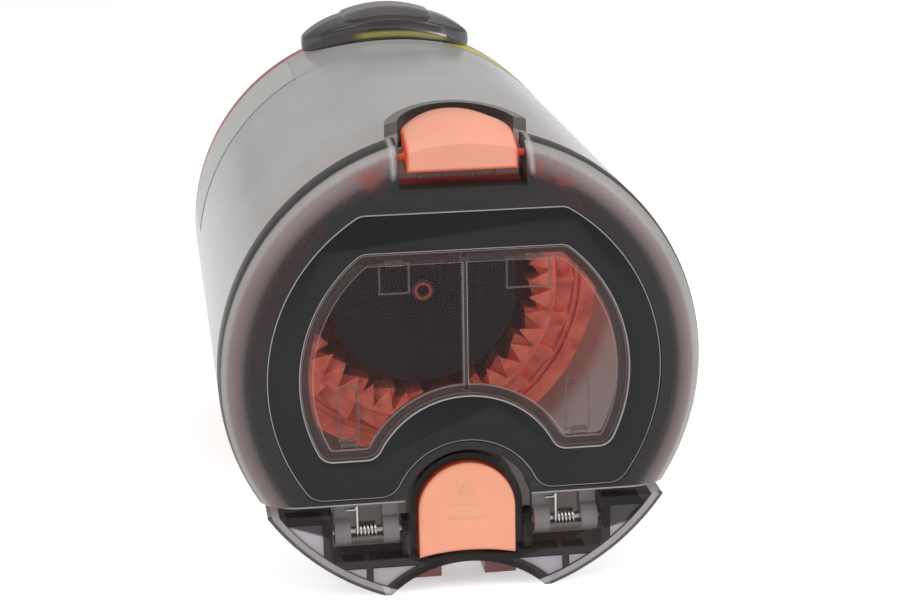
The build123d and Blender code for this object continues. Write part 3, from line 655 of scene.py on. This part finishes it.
from_centre = add_node(
    tree, "VectorMath", {0: coords.outputs["Object"]},
    {1: (-(low.x + high.x) / 2, 0, -(low.z + high.z) / 2)}, operation="ADD",
)
flat = add_node(tree, "VectorMath", {0: from_centre.outputs[0]}, {1: (1000, 0, 1000)}, operation="MULTIPLY")
reach = add_node(tree, "VectorMath", {0: flat.outputs[0]}, operation="LENGTH")
colour = bands(
    tree, reach.outputs["Value"], 0, 3,
    [(1.5, (0.03, 0.02, 0.024)), (1.65, (0.42, 0.075, 0.05)), (2.15, (0.42, 0.075, 0.05)),
     (2.3, (0.05, 0.026, 0.03))],
)
tree.links.new(colour, tint.inputs["A"])
print("finishes so far:", len(finishes))

# %% [markdown]
# The small things: black rubber at the rear, steel for the hinge pins and the springs, pale grey plastic
# for the panels behind the hinge, and two thin stickers with a satin film on them.

# %% Rubber, steel, panels and stickers
moulded("black_rubber", "black_rubber", (0.02, 0.02, 0.02), 0.7)
tree, shader, tint = moulded("pin_steel", "ground_steel", (0.55, 0.55, 0.55), 0.25)
shader.inputs["Metallic"].default_value = 1
tree, shader, tint = moulded("spring_steel", "spring_wire", (0.50, 0.485, 0.47), 0.25)
shader.inputs["Metallic"].default_value = 1
scratched(tree, shader, 0.25, 300.0)
tree, shader, tint = moulded("grey_panel", "grey_panel", None, 0.3)
see_through(tree, shader, 0.9, 1.0)
place = place_group(tree, ruler)
wedge = leaning(tree, place.outputs["Side"], -0.32, place.outputs["Height"])
wedge = leaning(tree, place.outputs["Across"], 0.036, wedge)
colour = bands(tree, wedge, -70, -40, [(-48.3, (0.42, 0.395, 0.43)), (-47.8, (0.035, 0.030, 0.032))])
tree.links.new(colour, tint.inputs["A"])
tree, shader, tint = moulded("hinge_trough", "hinge_trough", (0.16, 0.145, 0.14), 0.2)
see_through(tree, shader, 0.5, 0.9)
tree, shader, tint = moulded("grey_sticker", "grey_sticker", None, 0.35, 0.1, 2500.0)
place = place_group(tree, ruler)
line = (0.50, 0.505, 0.495)
ground = (0.40, 0.408, 0.395)
colour = bands(
    tree, place.outputs["Station"], 0, 40,
    [(5.2, (0.28, 0.28, 0.275)), (5.6, ground), (12.3, ground), (12.6, line), (12.9, ground),
     (24.0, ground), (24.3, line), (24.6, ground), (34.2, ground), (34.6, (0.27, 0.27, 0.265))],
)
tree.links.new(colour, tint.inputs["A"])
tree, shader, tint = moulded("yellow_sticker", "yellow_sticker", None, 0.4, 0.1, 2500.0)
place = place_group(tree, ruler)
colour = bands(
    tree, place.outputs["Side"], 0, 50, [(22, (0.56, 0.52, 0.03)), (27, (0.48, 0.455, 0.20))]
)
tree.links.new(colour, tint.inputs["A"])
for subpart in frame["record"]["subparts"]:
    mesh = nodes[subpart["node"]].data
    mesh.materials.clear()
    own = {"screen_screw": "screw_head"}.get(subpart["node"], subpart["material_slot"])
    mesh.materials.append(finishes[own])
print("finishes:", len(finishes))

# %% [markdown]
# From here pieces are modelled as by hand. A few helpers do what the mouse would: clear the selection, open
# a piece for editing, apply a modifier, copy a measured solid, and hand a finished piece over to the body
# that it moves with. Other helpers come where they are first needed.

# %% Hand tools
def only(piece):
    """Select one piece and make it the active one."""
    bpy.ops.object.select_all(action="DESELECT")
    piece.select_set(True)
    bpy.context.view_layer.objects.active = piece


def edit(piece, mode):
    """Open a piece for editing, with nothing on it selected."""
    only(piece)
    bpy.ops.object.mode_set(mode="EDIT")
    bpy.ops.mesh.select_mode(type=mode)
    bpy.ops.mesh.select_all(action="DESELECT")


def modify(piece, kind, **settings):
    """Add a modifier, set it and apply it."""
    only(piece)
    modifier = piece.modifiers.new(kind.lower(), kind)
    for key, value in settings.items():
        setattr(modifier, key, value)
    bpy.ops.object.modifier_apply(modifier=modifier.name)


def hand_over(piece, name, body, slot, finish, *stands_for):
    """Name a finished piece, give it its finish and let it ride on its body."""
    piece.name = name
    piece.data.name = name
    for index, each in enumerate(finish):
        if index < len(piece.data.materials):
            piece.data.materials[index] = finishes[each]
        else:
            piece.data.materials.append(finishes[each])
    only(piece)
    bpy.ops.object.shade_smooth_by_angle(angle=math.radians(35))
    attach(piece, body)
    if stands_for:
        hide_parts(*stands_for)
    print(name, "faces:", len(piece.data.polygons))


def clean_copy(node, flat_faces=True):
    """A copy of a measured solid with its loose triangles joined, into whole faces where wanted."""
    only(nodes[node])
    bpy.ops.object.duplicate()
    piece = bpy.context.object
    del piece["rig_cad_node"]
    edit(piece, "VERT")
    bpy.ops.mesh.customdata_custom_splitnormals_clear()
    bpy.ops.mesh.select_all(action="SELECT")
    bpy.ops.mesh.remove_doubles(threshold=0.000002)
    if flat_faces:
        bpy.ops.mesh.dissolve_limited(angle_limit=math.radians(1.5))
    bpy.ops.object.mode_set(mode="OBJECT")
    piece.data.materials.clear()
    return piece


def round_edges(piece, edge):
    """Round the sharp edges of a piece. The rounded strips take its second finish, a painted highlight."""
    for _ in range(2):
        piece.data.materials.append(None)
    modify(
        piece, "BEVEL", width=edge, segments=2, limit_method="ANGLE", angle_limit=math.radians(40),
        use_clamp_overlap=False, material=1,
    )


print("hand tools ready")

# %% [markdown]
# A moulded edge is never knife-sharp. The trim and the window are copied from the measured solids and their
# edges are rounded by a tenth or two of a millimetre, so that they catch the light. The rounded strip gets
# the painted edge highlight.

# %% Rounded trim and window
trim = clean_copy("lid_bezel")
round_edges(trim, 0.00022)
hand_over(trim, "trim_rounded", "lid", "gloss_black", ["gloss_black", "trim_edge_highlight"], "lid_bezel")
window = clean_copy("lid_window")
round_edges(window, 0.00012)
hand_over(window, "window_rounded", "lid", "clear_plastic", ["clear_plastic", "window_edge_highlight"], "lid_window")

# %% [markdown]
# The hood at the rear is a soft arch with blunt ends, and its pad rises only a little above the shoulders.
# The copy gets an even grid of small faces. The shoulders are raised by measure, most at the ends and less
# towards the front, while the foot stays on the tube. Then the whole hood is softened like a pebble.

# %% Shaping tools
def even_grid(piece, grid):
    """Cover a piece with an even grid of small faces."""
    modify(piece, "REMESH", mode="VOXEL", voxel_size=grid)


def pebble(piece, grid, passes):
    """Soften a whole piece like a pebble: an even grid, then smoothing."""
    even_grid(piece, grid)
    modify(piece, "SMOOTH", factor=0.5, iterations=passes)


def raise_points(piece, lift):
    """Raise each point of a piece by its own measured amount."""
    edit(piece, "VERT")
    mesh = bmesh.from_edit_mesh(piece.data)
    for vert in mesh.verts:
        vert.co.z += lift(vert.co)
    bmesh.update_edit_mesh(piece.data)
    bpy.ops.object.mode_set(mode="OBJECT")


def ramp(value, start, length):
    """A share that goes from nil at a start to one a length further on."""
    return min(1.0, max(0.0, (value - start) / length))


print("shaping tools ready")

# %% Arched hood
tube_radius = 0.055
arch_radius = 0.0317
arch_top = 0.061
half_width = 0.0235
pad_rise = 0.0024
pad_length = 0.0115
shoulder_start = 0.0060
shoulder_run = 0.0065
shoulder_lift = 0.0021
end_start = 0.0125
end_run = 0.0095
end_lift = 0.0016
front_run = 0.0085
front_loss = 0.75


def hood_lift(point):
    """How far a point of the hood goes up."""
    aside = min(half_width, abs(point.x))
    foot = math.sqrt(tube_radius ** 2 - aside ** 2)
    arch = arch_top - arch_radius + math.sqrt(arch_radius ** 2 - aside ** 2)
    share = ramp(point.z, foot, arch - foot)
    above = ramp(point.z, arch, pad_rise)
    rise = shoulder_lift + end_lift * ramp(aside, end_start, end_run)
    lift = ramp(aside, shoulder_start, shoulder_run) * rise
    forward = ramp(-point.y, pad_length, front_run)
    return lift * share * (1 - above) * (1 - front_loss * forward)


hood = clean_copy("catch_hood", False)
even_grid(hood, 0.0003)
raise_points(hood, hood_lift)
pebble(hood, 0.0003, 22)
hand_over(hood, "hood_rounded", "bin", "smoky_hood", ["smoky_hood"], "catch_hood")

# %% [markdown]
# The latch is domed like a thumb rest: flatter at its front edge and rounder towards the rear. A copy gets
# an even grid of small faces, and its upper points are lowered the more the further they lie from the
# middle. That is what soft selection does by hand, but measured. Then the whole piece is softened.

# %% Domed latch
crown = 0.0577
dome_floor = 0.0485
dome_reach = 0.0138
front_sag = 0.0036
rear_sag = 0.0056
button_front = 0.1538


def latch_lift(point):
    """How far a point of the latch goes up: never above nil, since the dome only lowers."""
    if point.z <= dome_floor:
        return 0.0
    depth = front_sag + rear_sag * ramp(point.y, -button_front, 0.018)
    aside = min(0.98, abs(point.x) / dome_reach)
    sag = depth * (1 - math.sqrt(1 - aside * aside)) - (crown - math.sqrt(crown ** 2 - point.x ** 2))
    return -max(0.0, sag) * (point.z - dome_floor) / (crown - dome_floor)


latch = clean_copy("latch", False)
even_grid(latch, 0.00025)
raise_points(latch, latch_lift)
pebble(latch, 0.00025, 8)
hand_over(latch, "latch_rounded", "latch", "orange_plastic", ["coral_latch"], "latch")

# %% [markdown]
# The hinge springs are round wire. A small circle is swept along a screw round the pin to make the coil.
# The first end is then drawn straight up in front of the lid and bent over into a hook, and the other end
# is drawn back to rest on the bin. The second spring is the first one moved across.

# %% Placing and picking
def pick_edges(piece, wanted):
    """Select the edges whose two ends pass a test."""
    mesh = bmesh.from_edit_mesh(piece.data)
    for edge in mesh.edges:
        if wanted(edge.verts[0].co, edge.verts[1].co):
            edge.select_set(True)
    bmesh.update_edit_mesh(piece.data)


def tidy_mesh(piece):
    """Leave edit mode with doubles merged and normals pointing outwards."""
    bpy.ops.mesh.select_all(action="SELECT")
    bpy.ops.mesh.remove_doubles(threshold=0.000002)
    bpy.ops.mesh.normals_make_consistent(inside=False)
    bpy.ops.object.mode_set(mode="OBJECT")


def settle(piece):
    """Put a piece's place into its mesh, so that its object sits at the origin."""
    only(piece)
    bpy.ops.object.transform_apply(location=True, rotation=True, scale=True)


def copied(piece, shift):
    """A second piece with its own mesh, moved by a shift."""
    only(piece)
    bpy.ops.object.duplicate()
    twin = bpy.context.object
    bpy.ops.transform.translate(value=shift)
    settle(twin)
    return twin


def near(target, reach):
    """A test for edges whose two ends lie within reach of a point."""
    return lambda a, b: (a - target).length < reach and (b - target).length < reach


print("placing tools ready")

# %% Hinge springs
pin_station = 0.150
pin_height = -0.0366
coil_radius = 0.00185
wire_radius = 0.00030
coil_end = 0.0207
coil_length = 0.0044
turns = 5.25
spring_centre = 0.0229
leg_height = 0.0066
hook_bend = 0.0008
hook_length = 0.0016
rear_leg = 0.0052

bpy.ops.mesh.primitive_circle_add(vertices=12, radius=wire_radius, location=(0, 0, 0))
spring = bpy.context.object
edit(spring, "VERT")
bpy.ops.mesh.select_all(action="SELECT")
bpy.ops.transform.translate(value=(0, -coil_radius, 0))
bpy.ops.object.mode_set(mode="OBJECT")
modify(
    spring, "SCREW", axis="X", angle=math.radians(360 * turns), screw_offset=coil_length,
    steps=110, render_steps=110, iterations=1,
)
edit(spring, "EDGE")
pick_edges(spring, near(Vector((0, -coil_radius, 0)), wire_radius * 1.05))
bpy.ops.mesh.extrude_edges_move(TRANSFORM_OT_translate={"value": (0, 0, leg_height)})
bpy.ops.mesh.spin(
    steps=6, angle=math.radians(-90), center=(-hook_bend, -coil_radius, leg_height), axis=(0, 1, 0)
)
bpy.ops.mesh.extrude_edges_move(TRANSFORM_OT_translate={"value": (-hook_length, 0, 0)})
bpy.ops.mesh.edge_face_add()
bpy.ops.mesh.select_all(action="DESELECT")
pick_edges(spring, near(Vector((coil_length, 0, -coil_radius)), wire_radius * 1.15))
bpy.ops.mesh.extrude_edges_move(TRANSFORM_OT_translate={"value": (0, rear_leg, 0)})
bpy.ops.mesh.edge_face_add()
tidy_mesh(spring)
spring.location = (coil_end, -pin_station, pin_height)
settle(spring)
spring_left = copied(spring, (-2 * spring_centre, 0, 0))
hand_over(spring, "spring_wire_right", "lid", "spring_steel", ["spring_steel"], "hinge_spring_right")
hand_over(spring_left, "spring_wire_left", "lid", "spring_steel", ["spring_steel"], "hinge_spring_left")

# %% [markdown]
# Two small press springs push the button and the latch back out. Each is the same screw of round wire, with
# its axis along the bin, and rides on the body of the piece that it pushes.

# %% Press springs
def press_spring(node, name, body, wire, coils):
    """A coil of round wire that fills a measured spring's box and rides on a joint's body."""
    low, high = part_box(node)
    centre = (low + high) / 2
    bpy.ops.mesh.primitive_circle_add(vertices=12, radius=wire)
    coil = bpy.context.object
    edit(coil, "VERT")
    bpy.ops.mesh.select_all(action="SELECT")
    bpy.ops.transform.translate(value=((high.x - low.x) / 2 - wire, 0, 0))
    bpy.ops.object.mode_set(mode="OBJECT")
    length = high.y - low.y - 2 * wire
    modify(
        coil, "SCREW", axis="Y", angle=math.radians(360 * coils), screw_offset=length,
        steps=int(24 * coils), render_steps=int(24 * coils), iterations=1,
    )
    edit(coil, "EDGE")
    bpy.ops.mesh.select_non_manifold()
    bpy.ops.mesh.fill_holes(sides=0)
    tidy_mesh(coil)
    coil.location = (centre.x, low.y + wire, centre.z)
    settle(coil)
    hand_over(coil, name, body, "spring_steel", ["spring_steel"], node)
    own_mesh(coil)
    print(name, "length mm:", round(1000 * (high.y - low.y), 2))


press_spring("release_spring", "press_wire_button", "button", 0.00035, 5)
press_spring("latch_spring", "press_wire_latch", "latch", 0.00022, 5)

# %% [markdown]
# Under each spring the lid has a half-round trough that ties its two hinge knuckles together. An open
# cylinder is cut along the pin's height, the lower half is kept and given a wall.

# %% Hinge troughs
def ease_edges(piece, edge):
    """Take the sharpness off the edges of a thin plate."""
    modify(piece, "BEVEL", width=edge, segments=2, limit_method="ANGLE", angle_limit=math.radians(50))


trough_radius = 0.0031
trough_centre = 0.02295
trough_length = 0.0078
trough_drop = 0.0006
bpy.ops.mesh.primitive_cylinder_add(
    vertices=40, radius=trough_radius, depth=trough_length, end_fill_type="NOTHING",
    location=(trough_centre, -pin_station, pin_height), rotation=(0, math.pi / 2, 0),
)
trough = bpy.context.object
settle(trough)
edit(trough, "FACE")
bpy.ops.mesh.select_all(action="SELECT")
bpy.ops.mesh.bisect(plane_co=(0, 0, pin_height - trough_drop), plane_no=(0, 0, 1), clear_outer=True)
tidy_mesh(trough)
modify(trough, "SOLIDIFY", thickness=0.0005, offset=-1)
ease_edges(trough, 0.00012)
trough_left = copied(trough, (-2 * trough_centre, 0, 0))
hand_over(trough, "hinge_trough_right", "lid", "smoky_lid", ["hinge_trough"])
hand_over(trough_left, "hinge_trough_left", "lid", "smoky_lid", ["hinge_trough"])

# %% [markdown]
# Pale grey panels close the cells of the saddle, a little behind its front edge. A flat disc is cut at the
# saddle's top, the hinge pocket and the hollow under the bin are taken out with two cutters, and the plate
# gets its thickness.

# %% Saddle panels
def cut_away(piece, cutter):
    """Take a cutter's shape out of a piece and remove the cutter."""
    modify(piece, "BOOLEAN", operation="DIFFERENCE", object=cutter, solver="EXACT")
    bpy.data.objects.remove(cutter)


panel_station = 0.1530
panel_radius = 0.0528
panel_top = -0.0325
panel_foot = -0.0508
panel_thickness = 0.0007
pocket_size = (0.0634, 0.01, 0.0214)
channel_radius = 0.0272
channel_height = -0.0704
across_bin = (math.pi / 2, 0, 0)
bpy.ops.mesh.primitive_circle_add(
    vertices=160, radius=panel_radius, fill_type="NGON",
    location=(0, -panel_station, 0), rotation=across_bin,
)
panels = bpy.context.object
settle(panels)
edit(panels, "FACE")
for level, side in ((panel_top, 1), (panel_foot, -1)):
    bpy.ops.mesh.select_all(action="SELECT")
    bpy.ops.mesh.bisect(plane_co=(0, 0, level), plane_no=(0, 0, side), clear_outer=True)
tidy_mesh(panels)
modify(panels, "SOLIDIFY", thickness=panel_thickness, offset=0)
bpy.ops.mesh.primitive_cube_add(size=1, location=(0, -panel_station, panel_top), scale=pocket_size)
pocket_cutter = bpy.context.object
settle(pocket_cutter)
bpy.ops.mesh.primitive_cylinder_add(
    vertices=120, radius=channel_radius, depth=pocket_size[1],
    location=(0, -panel_station, channel_height), rotation=across_bin,
)
channel_cutter = bpy.context.object
settle(channel_cutter)
for cutter in (pocket_cutter, channel_cutter):
    cut_away(panels, cutter)
ease_edges(panels, 0.00015)
hand_over(panels, "saddle_panels", "bin", "smoky_plastic", ["grey_panel"])

# %% [markdown]
# In front of the swirl vanes stands a crown of small leaning teeth, like a saw blade turned inwards. One
# tooth is a flat plate whose inner edge is merged into a tip and pushed sideways. Spin copies it round the
# axis, a narrow ring joins the roots, and the whole sheet gets its thickness at once.

# %% Saw-tooth crown
tooth_count = 40
tooth_station = 0.0774
root_radius = 0.0340
tip_radius = 0.0284
middle = -(root_radius + tip_radius) / 2
pitch = 2 * math.pi * root_radius / tooth_count
lean = 0.45 * pitch
ring_outer = root_radius + 0.0012
ring_inner = root_radius - 0.0002
bpy.ops.mesh.primitive_plane_add(
    size=1, location=(0, -tooth_station, middle), rotation=across_bin
)
teeth = bpy.context.object
teeth.scale = (pitch, root_radius - tip_radius, 1)
settle(teeth)
edit(teeth, "EDGE")
pick_edges(teeth, lambda a, b: min(a.z, b.z) > middle)
bpy.ops.mesh.merge(type="CENTER")
bpy.ops.transform.translate(value=(lean, 0, 0))
bpy.ops.mesh.select_all(action="SELECT")
bpy.ops.mesh.spin(
    steps=tooth_count - 1, dupli=True, angle=2 * math.pi * (tooth_count - 1) / tooth_count,
    center=(0, 0, 0), axis=(0, 1, 0),
)
bpy.ops.mesh.select_all(action="DESELECT")
bpy.ops.mesh.primitive_circle_add(
    vertices=160, radius=ring_outer, location=(0, -tooth_station, 0), rotation=across_bin
)
bpy.ops.mesh.extrude_edges_move(TRANSFORM_OT_translate={"value": (0, 0, 0)})
inner = ring_inner / ring_outer
bpy.ops.transform.resize(value=(inner, 1, inner), center_override=(0, -tooth_station, 0))
tidy_mesh(teeth)
modify(teeth, "SOLIDIFY", thickness=0.0007, offset=0)
ease_edges(teeth, 0.00012)
hand_over(teeth, "saw_tooth_crown", "bin", "red_plastic", ["red_plastic"])

# %% [markdown]
# Behind the window four small frames hold it in the lid. Each is a flat rectangle whose face is inset,
# opened and given a thickness. Each is made the same way at its own size.

# %% Window clips
clip_station = 0.1527
clip_rim = 0.00045
clip_thickness = 0.0004


def clip_frame(name, left, right, low, high):
    """A thin rectangular frame on the back of the window."""
    bpy.ops.mesh.primitive_plane_add(
        size=1, location=((left + right) / 2, -clip_station, (low + high) / 2), rotation=across_bin
    )
    clip = bpy.context.object
    clip.scale = (right - left, high - low, 1)
    settle(clip)
    edit(clip, "FACE")
    bpy.ops.mesh.select_all(action="SELECT")
    bpy.ops.mesh.inset(thickness=clip_rim)
    bpy.ops.mesh.delete(type="FACE")
    tidy_mesh(clip)
    modify(clip, "SOLIDIFY", thickness=clip_thickness, offset=0)
    ease_edges(clip, 0.0001)
    hand_over(clip, name, "lid", "clear_plastic", ["clip_edge"])


clip_frame("clip_top_left", -0.0190, -0.0120, 0.0195, 0.0268)
clip_frame("clip_top_right", 0.0095, 0.0195, 0.0195, 0.0268)
clip_frame("clip_low_left", -0.0288, -0.0240, -0.0140, -0.0010)
clip_frame("clip_low_right", 0.0228, 0.0285, -0.0145, -0.0020)

# %% [markdown]
# Two stickers lie on the tube near its rear: a plain grey one on the left and a yellow one that runs under
# the hood. An open cylinder a hair larger than the tube gives the curve. The faces outside the sticker are
# deleted and the rest gets a film's thickness.

# %% Stickers
def pick_faces(piece, wanted):
    """Select the faces whose centre and normal pass a test."""
    mesh = bmesh.from_edit_mesh(piece.data)
    for face in mesh.faces:
        if wanted(face.calc_center_median(), face.normal):
            face.select_set(True)
    bmesh.update_edit_mesh(piece.data)


film_radius = 0.05506
film_thickness = 0.00005


def sticker(name, first, last, rear, front, finish):
    """A thin curved patch on the tube between two angles and two stations."""
    bpy.ops.mesh.primitive_cylinder_add(
        vertices=240, radius=film_radius, depth=front - rear, end_fill_type="NOTHING",
        location=(0, -(rear + front) / 2, 0), rotation=across_bin,
    )
    patch = bpy.context.object
    settle(patch)
    edit(patch, "FACE")

    def outside(centre, normal):
        angle = math.degrees(math.atan2(centre.z, centre.x)) % 360
        return not first < angle < last

    pick_faces(patch, outside)
    bpy.ops.mesh.delete(type="FACE")
    bpy.ops.mesh.select_all(action="SELECT")
    bpy.ops.mesh.normals_make_consistent(inside=False)
    bpy.ops.object.mode_set(mode="OBJECT")
    modify(patch, "SOLIDIFY", thickness=film_thickness, offset=0)
    hand_over(patch, name, "bin", "smoky_plastic", [finish])


sticker("sticker_grey", 119.5, 172, 0.0050, 0.0350, "grey_sticker")
sticker("sticker_yellow", 36, 100, 0.0050, 0.0160, "yellow_sticker")

# %% [markdown]
# Small relief: a push mark on the release button, made of a triangle and two bars that stand a few
# hundredths of a millimetre proud, and four ribs on the lid's tongue below the latch.

# %% Relief on the button and the tongue
mark_rise = 0.00012
mark_edge = 0.00004
rib_size = (0.0007, 0.0008, 0.0045)


def bar(name, size, place, edge, body, finish):
    """A small block with rounded edges."""
    bpy.ops.mesh.primitive_cube_add(size=1, location=place, scale=size)
    block = bpy.context.object
    settle(block)
    modify(block, "BEVEL", width=edge, segments=3)
    hand_over(block, name, body, finish, [finish])


for index, x in enumerate((-0.0085, -0.003, 0.003, 0.0085)):
    bar("tongue_rib_%d" % (index + 1), rib_size, (x, -0.1470, 0.0460), 0.0002, "lid", "smoky_lid")
bpy.ops.mesh.primitive_circle_add(
    vertices=3, radius=0.0026, fill_type="NGON", location=(0, -button_front, -0.0268), rotation=across_bin
)
arrow = bpy.context.object
settle(arrow)
modify(arrow, "SOLIDIFY", thickness=mark_rise, offset=0)
modify(arrow, "BEVEL", width=mark_edge, segments=2)
hand_over(arrow, "push_arrow", "button", "orange_plastic", ["orange_plastic"])
for index, (width, height) in enumerate(((0.0062, -0.0302), (0.0084, -0.0335))):
    bar(
        "push_bar_%d" % (index + 1), (width, mark_rise, 0.0012), (0, -button_front, height), mark_edge,
        "button", "orange_plastic",
    )

# %% [markdown]
# Last, the plain Standard view keeps the colours as they were set.

# %% Colour view
bpy.context.scene.view_settings.view_transform = "Standard"
